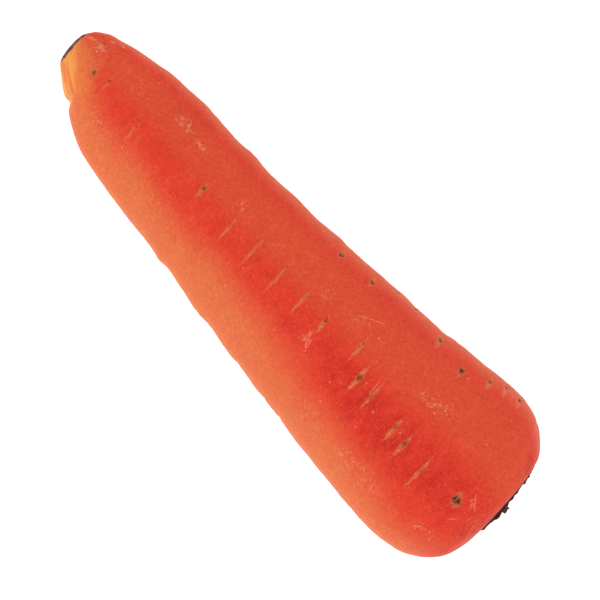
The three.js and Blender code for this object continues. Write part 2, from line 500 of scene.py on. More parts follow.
for place, turn, half_long, half_wide, _, dark, pit, depth in SCARS:
    across, lengthwise = from_middle(place, turn)
    shape = -0.7 * dent(across, lengthwise, 3.6, 1.2 * half_long + 1.5)  # a wide dimple
    shape -= 0.45 * dent(across, lengthwise, half_wide + 0.2, half_long)  # the cork's bed
    shape -= 0.35 * dent(across, lengthwise, 0.5, 1.5 * half_long + 1)  # a crease runs on
    lip = np.abs(across) - half_wide - 0.6
    shape += 0.15 * dent(lip, lengthwise, 0.4, half_long)
    shape -= 0.5 * dark * dent(across, lengthwise - pit * half_long, 0.5, 0.7)  # the pit
    height += depth * shape
print("with scars from", round(height.min(), 2), "to", round(height.max(), 2), "mm")

# %% [markdown]
# ## Which scar is nearest
#
# The mesh is too coarse for a scar's fine edge, so the material draws that. It has to know
# where in a scar it is, and there are too many scars to write one by one into its nodes. So
# each point notes its place in its nearest scar, and that scar's form and tone. Short scars,
# and those underneath, are greyer than the long thin ones on top.

# %% Note the nearest scar
MARK_REACH = 1.3  # a mark is noted this far out, in shares of the belt round it


def claim(span, nearest):
    """True where this mark is in reach, and nearer than the marks before it."""
    closer = (span < MARK_REACH) & (span < nearest)
    nearest[closer] = span[closer]
    return closer


scar_place = np.zeros((len(point), 3))  # mm across it, mm along it, 1 if in a scar's reach
scar_form = np.ones((len(point), 3))  # half width, half length, where the pit is
scar_tone = np.zeros((len(point), 3))  # tan, dark, greyness
nearest_scar = np.full(len(point), np.inf)
for place, turn, half_long, half_wide, tan, dark, pit, _ in SCARS:
    across, lengthwise = from_middle(place, turn)
    span = np.hypot(across / (half_wide + 1.1), lengthwise / (1.7 * half_long + 1))
    closer = claim(span, nearest_scar)
    scar_place[closer] = np.stack([across, lengthwise, np.ones_like(across)], axis=1)[closer]
    scar_form[closer] = (half_wide, half_long, pit)
    greyness = 0.9 if half_long < 3 * half_wide or abs(turn) > 90 else 0.15
    scar_tone[closer] = (tan, dark, greyness)
print(round(100 * scar_place[:, 2].mean()), "% of the points are near a scar")

# %% [markdown]
# ## The crown and the cut tip
#
# Where the leaves grew, the crown is a flat scar of dark, dry cork with a ragged collar of old
# leaf bases. The tip was cut off, and the skin behind the cut's edge has dried too. A boolean
# would leave clean edges. Here each edge is a distance in mm, above 0 in the cork, that noise
# makes ragged. The same distance lowers the cork now and colours it later.

# %% Crown
LEAF_SCAR_RADIUS = 11.2  # mm, as all the measures below
CORK_EDGE = 1.15  # how far the dry cork creeps over the rim of skin round the leaf scar
CORK_DEPTH = 3.2  # how far below the leaf scar it can reach
CORK_SINK = 0.35
COLLAR_RISE = 1.3
HUMP_RISE = 0.8


def band(values, start, full, wane, end):
    """0 up to start, 1 from full to wane, and 0 again from end on."""
    return ease(start, full, values) * ease(end, wane, values)


ragged = 0.5 * cloud(1.5, 5)
rough = cloud(1.3, 6) + 0.35 * cloud(0.7, 7)
crown_edge = LEAF_SCAR_RADIUS + CORK_EDGE - 0.6 * ragged - scar_distance
crown_edge = np.minimum(crown_edge, scar_height + CORK_DEPTH)
crown_cork = ease(-0.3, 0.3, crown_edge)
height += crown_cork * (0.28 * rough - CORK_SINK)

# the outermost leaf bases have left a ragged collar inside the rim of skin, higher on -Y
collar = band(scar_distance, 7.6, 9.6, 10.8, 12.4) * ease(-4, -2.5, scar_height)
hump = ridge(from_scar[:, 1], -5, 5) * ease(-2, 4, from_scar[:, 2])
height += collar * (COLLAR_RISE + HUMP_RISE * hump + 0.5 * cloud(4, 11) + 0.15 * rough)
print(round(100 * crown_cork.mean()), "% of the points are the crown's cork")

# %% Tip
CUT_AT = 0.25  # where the flat cut is, in mm from the tip's end, CUT_SIDE mm to the +Y side
CUT_SIDE = 3.4
CUT_LEAN = 0.14  # it leans towards the crown by this share of the way to -Y
CUT_RIM = 1.1  # how far the skin behind the cut's edge has dried
CORNER_RISE = 0.18
CREASE_AT = 11.0  # mm from the tip's end, on the -Y side
CREASE_DEPTH = 0.75

cut = CUT_AT + CUT_LEAN * (CUT_SIDE - point[:, 1])
rim = CUT_RIM * (1 - 0.5 * (np.minimum(point[:, 1] - 1, 0) / 6) ** 2)  # narrower on -Y
rim += 0.2 * np.maximum(point[:, 1] - CUT_SIDE, 0)  # and wider on +Y
tip_edge = cut + rim - 0.3 * ragged - along
tip_cork = ease(-0.2, 0.2, tip_edge)
height += tip_cork * (0.1 * rough - 0.1)
height += CORNER_RISE * ridge(along, 2.2, 1.3)  # the cut's corner is sharp
crease_side = band(around, -150, -110, -65, -35)
height -= CREASE_DEPTH * ridge(along, CREASE_AT, 1.1) * crease_side
print(round(100 * tip_cork.mean(), 1), "% of the points are the cut's cork")

# %% [markdown]
# ## Moving the points
#
# The heights are now turned into shape. A Displace modifier could do it, but it would want them
# as a vertex group first, which only holds values from 0 to 1. The points can be moved at once
# instead: each goes out along its own normal, stays above the floor, and stays behind the cut.

# %% Move the points
CUT_GRAIN = 0.06  # mm, how rough the cut's face is

point += normal * height[:, None]
point[:, 2] = np.maximum(point[:, 2], 0)
point[:, 0] = np.maximum(point[:, 0], root_low.x / MM + cut + CUT_GRAIN * rough)
root_mesh.vertices.foreach_set("co", (point * MM).ravel())
root_mesh.update()
print("relief from", round(height.min(), 2), "to", round(height.max(), 2), "mm")

# %% [markdown]
# ## Painted values
#
# A carrot isn't one orange all over. It is rubbed yellow by the tip and scuffed where it was
# handled. It is painted deeper red on top and by the crown, partly its own colour and partly
# painted shade, and more orange on its flanks, partly its own colour and partly painted sheen.
# No formula in the material can know these places, and an image would need unwrapping. So
# they are worked out on the points and stored there as attributes, as are the nearest scar,
# the nearest scratch, the distance to the cork's edge, and how pale the cork is.


# %% Rubbed, scuffed and stained places
def patch(place, turn, half_long, half_round):
    """1 in the middle of a soft oval patch, falling to 0 at its edge."""
    return ease(1.0, 0.2, np.hypot((along - place) / half_long, arc_from(turn) / half_round))


def strongest(patches):
    """The strongest of several soft patches at each point."""
    return np.max([strength * patch(*place) for *place, strength in patches], axis=0)


# along in mm, around in degrees, half lengths along and around in mm, strength
SCUFFS = [
    (37, 36, 4.5, 3.2, 1.0),
    (43.5, 33, 3.2, 1.8, 1.1),
    (6.8, 31, 2.8, 2.4, 1.2),
    (23, 28, 9, 5, 0.35),
    (62, 24, 5, 3, 0.5),
    (97, -10, 2.5, 3, 0.6),
    (93, 27, 4, 2.5, 0.6),
    (104, 26, 4, 4, 0.45),
    (131, 22, 9, 4, 0.6),
    (112, -45, 10, 6, 0.35),
    (131, -46, 14, 7, 0.5),
    (159, -12, 4, 5, 0.35),
    (152, -40, 5, 4, 0.55),
    (150, -62, 8, 6, 0.4),
    (22, -28, 8, 6, 0.45),
    (70, 130, 10, 6, 0.6),
    (120, 150, 14, 8, 0.5),
    (90, -120, 12, 7, 0.6),
]
STAINS = [(3.4, 39, 1.9, 0.9, 1.0), (7.8, 57, 1.3, 1.0, 0.8), (10.3, 62, 1.5, 1.0, 0.8)]
FLANK = -85  # degrees round to the middle of the -Y flank, painted more orange: partly its own colour, partly painted sheen of the lamps on that side
STREAK_LENGTH = 9  # mm
STREAK_WIDTH = 1.1
STREAK_LEAN = 0.5  # going to the crown, they lean towards -Y by this much of their length

scuffed = strongest(SCUFFS)
stained = strongest(STAINS)
slanted = (sideways + STREAK_LEAN * along) / STREAK_WIDTH
places = zip(along / STREAK_LENGTH, slanted)
streaks = np.array([noise.noise(Vector((ahead, aside, 3))) for ahead, aside in places])
from_flank = np.abs((around - FLANK + 180) % 360 - 180)  # degrees
off_crown = ease(0.95, 0.3, normal[:, 0])  # 0 on the crown's face
rubbed_and_sheen = patch(4.5, -68, 12.5, 12.5) * np.clip(0.88 + 1.7 * streaks, 0.4, 1.25)
rubbed_and_sheen = np.maximum(rubbed_and_sheen, 0.32 * patch(7, -25, 13, 11))
# the middle of the -Y flank gets a little of the rubbed colour too; it is no rubbing there: partly
# the flank's own colour, partly painted sheen
rubbed_and_sheen = np.maximum(rubbed_and_sheen, 0.24 * ease(34, 8, from_flank) * off_crown)
print("rubbed_and_sheen", round(rubbed_and_sheen.mean(), 2), "scuffed", round(scuffed.mean(), 2), "on average")

# %% How deep the red is
shoulder = ease(0.5, 1.0, normal[:, 0])  # up to 1, as the skin turns over to the crown

deepness_and_shade = 0.42 + 0.15 * cloud(24, 8) + 0.10 * cloud(7, 9, 1.6)
deepness_and_shade += 0.2 * band(around, 36, 50, 62, 76)  # a dark stripe beside the top
deepness_and_shade += 0.52 * patch(133, -15, 38, 13)  # deeper red by the upper scars towards the crown: partly its own colour, partly painted shade where the -Y lamps' sheen fades towards the crown
# deeper red along the top: partly its own colour, partly painted shade in the band between the two
# flanks' sheens
deepness_and_shade += 0.25 * patch(100, -4, 40, 10)
# darker red, and further down a little more orange, where the skin turns over to the crown: partly
# its own colour, partly painted shade
deepness_and_shade += 0.5 * shoulder
print("deepness_and_shade", round(deepness_and_shade.mean(), 2), "on average")

# %% How orange the skin is
# the -Y flank is painted the most orange, partly its own warmer colour and partly painted sheen of
# the low lamps on that side; its edge wanders, and reach is its half width in degrees
reach = 60 - 24 * ease(0.38, 1.0, along / length) + 10 * ease(36, 10, along)
reach += 9 * cloud(15, 12, 1.5) + 4 * cloud(4, 14)
flank = ease(20, -20, from_flank - reach)
flank *= 1 - 0.2 * ease(95, 160, along)  # less towards the crown
flank *= 0.35 + 0.65 * ease(-165, -105, np.minimum(around, 0))  # and less underneath
flank *= off_crown * (0.95 + 0.25 * cloud(20, 15))

# the +Y side is painted a little more orange too: partly its own colour, partly painted sheen of the
# faint box on that side
beside_top = 0.24 * band(around, 0, 22, 40, 66)
far_flank = 0.52 * band(around, 50, 80, 110, 170)
tip = (0.8 + 0.5 * cloud(3, 13)) * ease(17, 2, along) * ease(62, 5, around)
warmth_and_sheen = np.max([flank, 0.2 * shoulder, beside_top, far_flank, tip], axis=0)
print("warmth_and_sheen", round(warmth_and_sheen.mean(), 2), "on average")

# %% Scratches
# along in mm, around in degrees, heading in degrees from the root's length, half length, strength
SCRATCHES = [
    (14.5, -56, 2, 2.1, 1.0),
    (105.2, 33.5, 31, 3.9, 1.0),
    (98.0, -9, 107, 2.9, 0.9),
    (98.9, -10, 112, 2.2, 0.8),
    (97.0, -8, 100, 1.8, 0.7),
    (99.0, -14, 138, 1.2, 0.7),
    (155.6, -3, 138, 2.4, 1.0),
    (155.1, -5.2, 133, 1.4, 0.9),
    (161.2, -19, 138, 0.9, 0.9),
    (155.0, -21, 48, 1.0, 0.7),
    (117.8, 2, 98, 2.2, 0.7),
    (75, 22, 44, 1.3, 0.4),
    (93.2, 21, 10, 1.4, 0.7),
]
SCRATCH_BELT = 1.2  # half lengths along a scratch, and mm aside

scratch_place = np.zeros((len(point), 3))  # share of the way to an end, mm aside, strength
nearest_scratch = np.full(len(point), np.inf)
for place, turn, heading, half_long, strength in SCRATCHES:
    forward, sidelong = along - place, arc_from(turn)
    cosine, sine = math.cos(math.radians(heading)), math.sin(math.radians(heading))
    lengthwise = (forward * cosine + sidelong * sine) / half_long
    aside = sidelong * cosine - forward * sine
    closer = claim(np.hypot(lengthwise / SCRATCH_BELT, aside / SCRATCH_BELT), nearest_scratch)
    scratch = np.stack([lengthwise, aside, np.full_like(aside, strength)], axis=1)
    scratch_place[closer] = scratch[closer]
print(len(SCRATCHES), "scratches")


# %% Store the attributes
def store(name, values):
    """Keeps a value, or three of them, on each point of the skin."""
    kind, field = ("FLOAT_VECTOR", "vector") if values.ndim == 2 else ("FLOAT", "value")
    layer = root_mesh.attributes.new(name, kind, "POINT")
    layer.data.foreach_set(field, np.ascontiguousarray(values, dtype=np.float32).ravel())


store("scar_place", scar_place)
store("scar_form", scar_form)
store("scar_tone", scar_tone)
store("scratch_place", scratch_place)
store("cork_edge", np.clip(np.maximum(crown_edge, tip_edge), -3, 3))
store("paleness", tip_cork * (0.6 + 0.8 * cloud(1.8, 16)))
store("deepness_and_shade", np.clip(deepness_and_shade, 0, 1))
store("warmth_and_sheen", np.clip(warmth_and_sheen, 0, 1.2))
store("patches", np.stack([rubbed_and_sheen, scuffed, stained], axis=1))
print("attributes:", len(root_mesh.attributes))

# %% [markdown]
# ## The scars' group
#
# Close up, a scar is a tan lens of cork, pointed at both ends and crumbly at its edge. It
# lies in a furrow and is browner towards its pit, a hairline runs on past both its ends, and
# short scars are greyer. An image of a scar could be stamped on each place, but then all would
# look alike. This node group draws them from the painted values and bends their edges with
# noise. It gives masks, and the skin's material decides how to colour them.

# %% Open the scars' group
FLOAT = "NodeSocketFloat"
VECTOR = "NodeSocketVector"
COLOUR = "NodeSocketColor"


def put(tree, kind, inputs=None, **settings):
    """Adds a node, applies its settings, and sets or links its inputs."""
    node = tree.nodes.new(kind)
    for name, value in settings.items():
        setattr(node, name, value)
    for name, value in (inputs or {}).items():
        if isinstance(value, bpy.types.NodeSocket):
            tree.links.new(value, node.inputs[name])
        else:
            node.inputs[name].default_value = value
    return node


def new_group(name, inputs, outputs):
    """An empty node group with typed sockets. Returns it with its input and output nodes."""
    group = bpy.data.node_groups.new(name, "ShaderNodeTree")
    for socket, kind in inputs.items():
        group.interface.new_socket(socket, in_out="INPUT", socket_type=kind)
    for socket, kind in outputs.items():
        group.interface.new_socket(socket, in_out="OUTPUT", socket_type=kind)
    source = group.nodes.new("NodeGroupInput")
    result = group.nodes.new("NodeGroupOutput")
    return group, source.outputs, result.inputs


def parts(tree, vector):
    """The three numbers of a vector."""
    split = put(tree, "ShaderNodeSeparateXYZ", {"Vector": vector}).outputs
    return split["X"], split["Y"], split["Z"]


given_sockets = {"At": VECTOR, "Place": VECTOR, "Form": VECTOR, "Tone": VECTOR}
MASKS = ("Furrow", "Lens", "Brown", "Hairline", "Pit", "Grey")
scars, given, mask_sockets = new_group("side_root_scar", given_sockets, dict.fromkeys(MASKS, FLOAT))
across, lengthwise, in_reach = parts(scars, given["Place"])
half_wide, half_long, pit_place = parts(scars, given["Form"])
tan, dark, greyness = parts(scars, given["Tone"])
print("the scars' group takes", ", ".join(given_sockets), "and gives", ", ".join(MASKS))


# %% The lens of cork
def maths(tree, operation, *values, clamp=False):
    """One sum on numbers or sockets."""
    inputs = dict(enumerate(values))
    return put(tree, "ShaderNodeMath", inputs, operation=operation, use_clamp=clamp).outputs[0]


def times(tree, first, *others):
    """The product of all the values."""
    for value in others:
        first = maths(tree, "MULTIPLY", first, value)
    return first


def plus(tree, total, *pairs):
    """The total with each value added, times its share."""
    for value, share in pairs:
        total = maths(tree, "MULTIPLY_ADD", value, share, total)
    return total


def fade(tree, value, low, high):
    """0 at low, 1 at high, smoothly."""
    inputs = {"Value": value, "From Min": low, "From Max": high}
    step = put(tree, "ShaderNodeMapRange", inputs, interpolation_type="SMOOTHSTEP")
    return step.outputs["Result"]


def grain(tree, place, scale, detail=2.0, roughness=0.5):
    """Noise between 0 and 1, with about `scale` features to the metre."""
    inputs = {"Vector": place, "Scale": scale, "Detail": detail, "Roughness": roughness}
    return put(tree, "ShaderNodeTexNoise", inputs).outputs["Fac"]


bend = maths(scars, "SUBTRACT", grain(scars, given["At"], 700, 2), 0.5)
fine = maths(scars, "SUBTRACT", grain(scars, given["At"], 2300, 3, 0.65), 0.5)
clumps = maths(scars, "SUBTRACT", grain(scars, given["At"], 1100, 2), 0.5)
inside = fade(scars, in_reach, 0.6, 0.95)
across = plus(scars, across, (bend, 1.1))
lengthwise = plus(scars, lengthwise, (bend, 1.4))
ahead = maths(scars, "DIVIDE", lengthwise, half_long)  # -1 and 1 at the scar's ends
taper = maths(scars, "SUBTRACT", 1.0, maths(scars, "POWER", ahead, 2))
off_line = maths(scars, "ABSOLUTE", maths(scars, "DIVIDE", across, half_wide))
within = maths(scars, "SUBTRACT", taper, off_line)  # above 0 inside the lens
within = plus(scars, within, (clumps, 2.2))
crumbly = plus(scars, within, (fine, 3.2))
lens = times(scars, fade(scars, crumbly, -0.2, 0.9), inside, maths(scars, "POWER", tan, 1.5))
print("the scars' group:", len(scars.nodes), "nodes so far")

# %% The furrow, the brown part and the hairline
wide = maths(scars, "DIVIDE", across, maths(scars, "ADD", half_wide, 0.3))
off = maths(scars, "ADD", maths(scars, "POWER", wide, 2), maths(scars, "POWER", ahead, 2))
furrow = times(scars, fade(scars, off, 1.3, 0.1), inside)

# the brown and the dark specks gather round the pit
to_pit = times(scars, maths(scars, "SUBTRACT", ahead, pit_place), half_long)
near_pit = fade(scars, maths(scars, "ABSOLUTE", to_pit), 2.6, 0.4)
brown = plus(scars, near_pit, (clumps, -3.0), (fine, -1.6), (greyness, 0.3))
brown = times(scars, fade(scars, brown, 0.35, 1.1), lens)

thin = fade(scars, maths(scars, "ABSOLUTE", across), 0.24, 0.04)
ends = fade(scars, maths(scars, "ABSOLUTE", ahead), 1.6, 0.8)
gaps = fade(scars, grain(scars, given["At"], 1300), 0.35, 0.6)
hairline = times(scars, thin, ends, inside, gaps)
print("the scars' group:", len(scars.nodes), "nodes so far")

# %% The pit and the specks
squashed = maths(scars, "POWER", times(scars, across, 1.3), 2)
pit_reach = maths(scars, "ADD", squashed, maths(scars, "POWER", to_pit, 2))
pit_reach = maths(scars, "SQRT", pit_reach)
pit_reach = maths(scars, "DIVIDE", pit_reach, plus(scars, 0.35, (half_wide, 1.3)))
pit = times(scars, fade(scars, plus(scars, pit_reach, (fine, 2.6)), 0.75, 0.15), inside)
specks = times(scars, fade(scars, fine, -0.06, -0.16), fade(scars, within, 0.0, 0.5))
specks = times(scars, specks, near_pit, inside)
pit = times(scars, maths(scars, "MAXIMUM", pit, specks), dark)

for name, value in zip(MASKS, (furrow, lens, brown, hairline, pit, greyness)):
    scars.links.new(value, mask_sockets[name])
print("the scars' group:", len(scars.nodes), "nodes in all")

# %% [markdown]
# ## The cork group
#
# The dry, dark tissue on the crown, on the cut tip and on the leaf stubs is the same on all
# three: nearly black brown, with maroon and grey-brown flakes. It could be copied into each
# material, but one group keeps them alike. Its paleness is higher on the cut.


# %% Cork group
def blend(tree, share, first, second):
    """Mixes two colours."""
    mix = put(tree, "ShaderNodeMix", {"Factor": share}, data_type="RGBA")
    for socket, value in ((mix.inputs[6], first), (mix.inputs[7], second)):
        if isinstance(value, bpy.types.NodeSocket):
            tree.links.new(value, socket)
        else:
            socket.default_value = (*value, 1)
    return mix.outputs[2]


NEARLY_BLACK = (0.016, 0.006, 0.006)
MAROON = (0.065, 0.014, 0.013)
GREY_BROWN = (0.15, 0.105, 0.085)

cork_sockets = {"At": VECTOR, "Paleness": FLOAT}
dry_cork, given, cork_looks = new_group("dry_cork", cork_sockets, {"Colour": COLOUR, "Height": FLOAT})
broad = grain(dry_cork, given["At"], 420, 3, 0.6)
flakes = grain(dry_cork, given["At"], 1500, 4, 0.7)
cork_colour = blend(dry_cork, fade(dry_cork, broad, 0.35, 0.65), NEARLY_BLACK, MAROON)
grey = maths(dry_cork, "ADD", fade(dry_cork, flakes, 0.55, 0.7), given["Paleness"], clamp=True)
grey = times(dry_cork, grey, plus(dry_cork, 0.5, (given["Paleness"], 0.3)))
cork_colour = blend(dry_cork, grey, cork_colour, GREY_BROWN)
dry_cork.links.new(cork_colour, cork_looks["Colour"])
dry_cork.links.new(flakes, cork_looks["Height"])
print("the cork group:", len(dry_cork.nodes), "nodes")

# %% [markdown]
# ## The skin's ground colour
#
# Fresh carrot skin drifts from orange to deep red in large patches, under a fine mottle. Thin
# pale hairlines cross it. One noise with much detail could give all sizes at once, but then
# they couldn't be tuned apart, so each size is a noise of its own, laid over the last colour.


# %% Orange to deep red
def stretched(tree, place, scale):
    """The place, scaled differently along each axis."""
    return put(tree, "ShaderNodeMapping", {"Vector": place, "Scale": scale}).outputs[0]


def painted(name, output="Fac"):
    """A value that is stored on the skin's points."""
    return put(tree, "ShaderNodeAttribute", attribute_name=name).outputs[output]


ORANGE = (0.60, 0.071, 0.031)
RED = (0.565, 0.039, 0.022)
DEEP = (0.46, 0.022, 0.016)
WARM = (0.56, 0.124, 0.045)

carrot_skin = bpy.data.materials.new("carrot_skin")
carrot_skin.use_nodes = True
tree = carrot_skin.node_tree
shader = tree.nodes["Principled BSDF"]
at = put(tree, "ShaderNodeTexCoord").outputs["Object"]

mottle = grain(tree, stretched(tree, at, (1.0, 0.6, 0.6)), 330, 4, 0.65)
# the painted deepness is partly painted shade, on top and at the crown's shoulder
redness_and_shade = maths(tree, "SUBTRACT", plus(tree, painted("deepness_and_shade"), (mottle, 1.5)), 0.75)
colour = blend(tree, fade(tree, redness_and_shade, -0.1, 0.5), ORANGE, RED)
colour = blend(tree, fade(tree, redness_and_shade, 0.5, 1.15), colour, DEEP)
# the painted orange of the flanks is partly painted sheen
orange_and_sheen_share = maths(tree, "MULTIPLY", plus(tree, 0.5, (mottle, 1.0)), painted("warmth_and_sheen"), clamp=True)
colour = blend(tree, orange_and_sheen_share, colour, WARM)
print("skin material:", len(tree.nodes), "nodes")


# %% Mottle and hairlines
def tinted(tree, share, colour, tint):
    """The colour, multiplied by the tint where share is 1."""
    mix = put(tree, "ShaderNodeMix", {"Factor": share}, data_type="RGBA", blend_type="MULTIPLY")
    tree.links.new(colour, mix.inputs[6])
    mix.inputs[7].default_value = (*tint, 1)
    return mix.outputs[2]


def cover(tree, colour, paint, mask, strength):
    """The colour with paint over it where the mask is, up to this strength."""
    return blend(tree, times(tree, mask, strength), colour, paint)


DARK_SPECKLE = (0.91, 0.86, 0.87)
LIGHT_SPECKLE = (1.09, 1.20, 1.25)
DARK_PEPPER = (0.93, 0.84, 0.86)
PALE = (0.68, 0.17, 0.10)

speckle = grain(tree, at, 1000, 3, 0.7)
pepper = grain(tree, at, 1900, 2, 0.6)
colour = tinted(tree, fade(tree, speckle, 0.52, 0.30), colour, DARK_SPECKLE)
colour = tinted(tree, fade(tree, speckle, 0.50, 0.72), colour, LIGHT_SPECKLE)
colour = tinted(tree, fade(tree, pepper, 0.47, 0.28), colour, DARK_PEPPER)
colour = cover(tree, colour, PALE, fade(tree, pepper, 0.56, 0.75), 0.28)
threads = grain(tree, stretched(tree, at, (1.0, 0.12, 0.12)), 1500, 2, 0.5)
threads = times(tree, fade(tree, threads, 0.60, 0.74), fade(tree, mottle, 0.45, 0.7))
colour = cover(tree, colour, PALE, threads, 0.2)
print("skin material:", len(tree.nodes), "nodes")

# %% [markdown]
# ## Marks on the skin
#
# The skin has dried in pale flecks, a few to each square centimetre, and a few brown ones. It
# is scuffed and scratched, and by the tip it is rubbed through to a yellow layer and stained.
# Painting each fleck would take a far finer mesh. Voronoi cells scatter them instead: each cell
# draws a lot, and only the lucky ones get a fleck.

# %% Flecks
FLECK = (0.80, 0.28, 0.17)
BROWN = (0.24, 0.060, 0.026)

rubbing_and_sheen, scuffing, staining = parts(tree, painted("patches", "Vector"))
cells = put(tree, "ShaderNodeTexVoronoi", {"Vector": at, "Scale": 480, "Randomness": 1}).outputs
lot = put(tree, "ShaderNodeSeparateColor", {"Color": cells["Color"]}).outputs
dot = fade(tree, plus(tree, cells["Distance"], (pepper, 0.7)), 0.5, 0.36)
lucky = plus(tree, lot["Red"], (scuffing, 0.3))  # there are more flecks where it is scuffed
flecks = times(tree, dot, fade(tree, lucky, 0.84, 0.94))
colour = cover(tree, colour, FLECK, flecks, 0.7)
freckles = times(tree, dot, fade(tree, lot["Green"], 0.90, 0.96))
colour = cover(tree, colour, BROWN, freckles, 0.45)
print("skin material:", len(tree.nodes), "nodes")

# %% Scuffs and scratches
BEIGE = (0.60, 0.24, 0.14)

strokes = grain(tree, stretched(tree, at, (1.0, 0.5, 0.5)), 1500, 4, 0.7)
strokes = plus(tree, strokes, (scuffing, 0.14))
scuff = times(tree, fade(tree, strokes, 0.6, 0.74), fade(tree, scuffing, 0.0, 0.5))
colour = cover(tree, colour, BEIGE, scuff, 0.7)

to_end, aside, strength = parts(tree, painted("scratch_place", "Vector"))
wander = plus(tree, -0.25, (grain(tree, at, 900, 2), 0.5))
aside = maths(tree, "ABSOLUTE", maths(tree, "ADD", aside, wander))
to_end = maths(tree, "ABSOLUTE", to_end)
broken = fade(tree, grain(tree, at, 1700, 2), 0.3, 0.46)
scratched = times(tree, fade(tree, aside, 0.24, 0.08), fade(tree, to_end, 1.1, 0.7))
scratched = times(tree, scratched, strength, broken)
colour = cover(tree, colour, PALE, scratched, 0.8)
print("skin material:", len(tree.nodes), "nodes")

# %% Rubbed and stained tip
LIGHT_ORANGE = (0.60, 0.165, 0.044)
YELLOW = (0.63, 0.245, 0.060)
OCHRE = (0.50, 0.24, 0.09)

# the rubbed share also carries the painted sheen on the middle of the -Y flank
rubbing_and_sheen = plus(tree, rubbing_and_sheen, (grain(tree, at, 700, 3, 0.6), 0.5))
colour = blend(tree, fade(tree, rubbing_and_sheen, 0.36, 0.74), colour, LIGHT_ORANGE)
colour = blend(tree, fade(tree, rubbing_and_sheen, 0.66, 1.2), colour, YELLOW)
stain = times(tree, staining, fade(tree, grain(tree, at, 1300, 3), 0.38, 0.56))
colour = cover(tree, colour, OCHRE, stain, 0.8)
print("skin material:", len(tree.nodes), "nodes")

# %% [markdown]
# ## Scars and cork in the skin
#
# The two groups are placed in the material now. A second material on some faces could carry
# the cork, but its edge would follow the faces. A mask can end anywhere, so the cork is laid
# over the skin's colour where the painted distance, frayed by noise, is above 0.

# %% Colour the scars
TAN = (0.58, 0.175, 0.060)
GREY_TAN = (0.36, 0.17, 0.10)
PIT = (0.060, 0.020, 0.014)

scar_inputs = {
    "At": at,
    "Place": painted("scar_place", "Vector"),
    "Form": painted("scar_form", "Vector"),
    "Tone": painted("scar_tone", "Vector"),
}
masks = put(tree, "ShaderNodeGroup", node_tree=scars)
for name, value in scar_inputs.items():
    tree.links.new(value, masks.inputs[name])
masks = masks.outputs
colour = cover(tree, colour, WARM, masks["Furrow"], 0.45)
colour = cover(tree, colour, TAN, masks["Hairline"], 0.45)
scar_colour = blend(tree, masks["Grey"], TAN, GREY_TAN)
colour = cover(tree, colour, scar_colour, masks["Lens"], 0.85)
colour = cover(tree, colour, BROWN, masks["Brown"], 0.8)
colour = blend(tree, masks["Pit"], colour, PIT)
print("skin material:", len(tree.nodes), "nodes")

# %% Colour the dry crown and the dry cut
cork = put(tree, "ShaderNodeGroup", node_tree=dry_cork)
tree.links.new(at, cork.inputs["At"])
tree.links.new(painted("paleness"), cork.inputs["Paleness"])
frayed = plus(tree, -0.6, (grain(tree, at, 1300, 4, 0.7), 1.2))
frayed = maths(tree, "ADD", frayed, painted("cork_edge"))
corky = fade(tree, frayed, -0.1, 0.12)
colour = blend(tree, corky, colour, cork.outputs["Colour"])
tree.links.new(colour, shader.inputs["Base Color"])
print("skin material:", len(tree.nodes), "nodes")

# %% [markdown]
# ## The skin's sheen and fine relief
#
# Fresh skin is thin and slightly waxy, over flesh that light gets into. A Glossy and a
# Subsurface shader could be mixed, but the Principled shader holds both and keeps their
# energy right. Dry places are duller. What is too fine for the mesh is left to bump.

# %% Dullness
WAXY = 0.5  # roughness of the waxy skin
DRIER = 0.3  # how much rougher cork is

dry = maths(tree, "MAXIMUM", masks["Lens"], masks["Pit"])
dry = maths(tree, "MAXIMUM", corky, dry)
uneven = maths(tree, "SUBTRACT", mottle, 0.5)
dull = plus(tree, WAXY, (dry, DRIER), (scuff, 0.2), (uneven, 0.3))
tree.links.new(dull, shader.inputs["Roughness"])
print("skin material:", len(tree.nodes), "nodes")

# %% Fine relief
BUMP_DEPTH = 0.25 * MM

wrinkles = grain(tree, stretched(tree, at, (1.0, 0.35, 0.35)), 520, 3, 0.6)
relief = plus(
    tree,
    times(tree, wrinkles, 0.6),
    (pepper, 0.12),
    (grain(tree, at, 4200, 2), 0.06),
    (masks["Hairline"], -0.3),
    (masks["Pit"], -0.8),
    (masks["Brown"], -0.2),
    (scuff, 0.15),
    (scratched, -0.15),
    (times(tree, corky, cork.outputs["Height"]), 1.0),
)
bump = put(tree, "ShaderNodeBump", {"Height": relief, "Strength": 0.6, "Distance": BUMP_DEPTH})
tree.links.new(bump.outputs["Normal"], shader.inputs["Normal"])
print("skin material:", len(tree.nodes), "nodes in all")

# %% Dress the root
shader.inputs["IOR"].default_value = 1.5
shader.inputs["Specular IOR Level"].default_value = 0.03
shader.inputs["Specular Tint"].default_value = (1.0, 0.82, 0.25, 1)
shader.inputs["Subsurface Weight"].default_value = 0.15
shader.inputs["Subsurface Radius"].default_value = (1.0, 0.35, 0.15)
shader.inputs["Subsurface Scale"].default_value = 1.5 * MM

root = add_object("carrot_root", root_mesh)
root_mesh.materials.append(carrot_skin)
root_mesh.shade_smooth()
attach(root, "root")
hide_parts("root")
print(root.name, "wears", carrot_skin.name)

# %% [markdown]
# ## The leaf stubs
#
# Each leaf stalk was cut off just above the crown and has dried to a dark, ragged crescent. In
# section a stalk is a crescent with its hollow side to the heart. A curve with a bevel could
# make one, but its section would stay the same all the way up. So a short radial line is spun
# round the crown's axis to make the crescent's floor, which is extruded upwards in layers that
# narrow, and its top is inset and sunk, as the pith shrinks more than the rind.

# %% Stub material
FIBRE = (0.13, 0.060, 0.035)
STUB_PALENESS = 0.15

